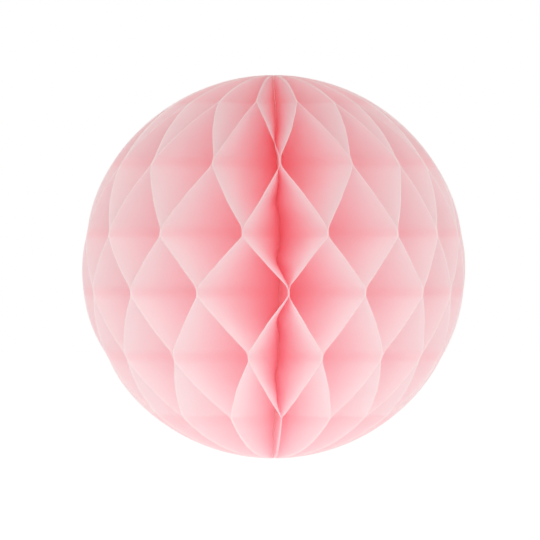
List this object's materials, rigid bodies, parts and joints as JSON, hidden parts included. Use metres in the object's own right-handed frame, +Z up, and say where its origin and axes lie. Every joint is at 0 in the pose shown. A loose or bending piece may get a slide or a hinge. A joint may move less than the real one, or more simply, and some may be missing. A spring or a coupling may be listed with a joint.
{
  "type": "honeycomb paper ball",
  "caption": "Round party ball of pink tissue half-discs glued in staggered bands, opened into a full fan of diamond cells around a thread, with card covers joined at the back.",
  "frame": {"origin": "centre of the ball, midway between the two poles", "axes": "+Z up along the thread, towards the pole that the ball hangs from; -Y to the front; +Y to the seam where the covers meet"},
  "size_m": [0.1999, 0.1999, 0.2],
  "materials": {
    "tissue": "matte",
    "card": "matte",
    "tape": "satin",
    "thread": "matte"
  },
  "bodies": {
    "root": {"tissue_sheet_01": "tissue", "tissue_sheet_02": "tissue", "tissue_sheet_03": "tissue", "tissue_sheet_04": "tissue", "tissue_sheet_05": "tissue", "tissue_sheet_06": "tissue", "tissue_sheet_07": "tissue", "tissue_sheet_08": "tissue", "tissue_sheet_09": "tissue", "tissue_sheet_10": "tissue", "tissue_sheet_11": "tissue", "tissue_sheet_12": "tissue", "tissue_sheet_13": "tissue", "tissue_sheet_14": "tissue", "tissue_sheet_15": "tissue", "tissue_sheet_16": "tissue", "tissue_sheet_17": "tissue", "tissue_sheet_18": "tissue", "tissue_sheet_19": "tissue", "tissue_sheet_20": "tissue", "tissue_sheet_21": "tissue", "tissue_sheet_22": "tissue", "tissue_sheet_23": "tissue", "tissue_sheet_24": "tissue", "tissue_sheet_25": "tissue", "tissue_sheet_26": "tissue", "tissue_sheet_27": "tissue", "tissue_sheet_28": "tissue", "tissue_sheet_29": "tissue", "tissue_sheet_30": "tissue", "tissue_sheet_31": "tissue", "tissue_sheet_32": "tissue", "cover_board_left": "card", "cover_board_right": "card", "seam_tape_upper": "tape", "seam_tape_lower": "tape", "spine_thread": "thread"}
  },
  "joints": []
}
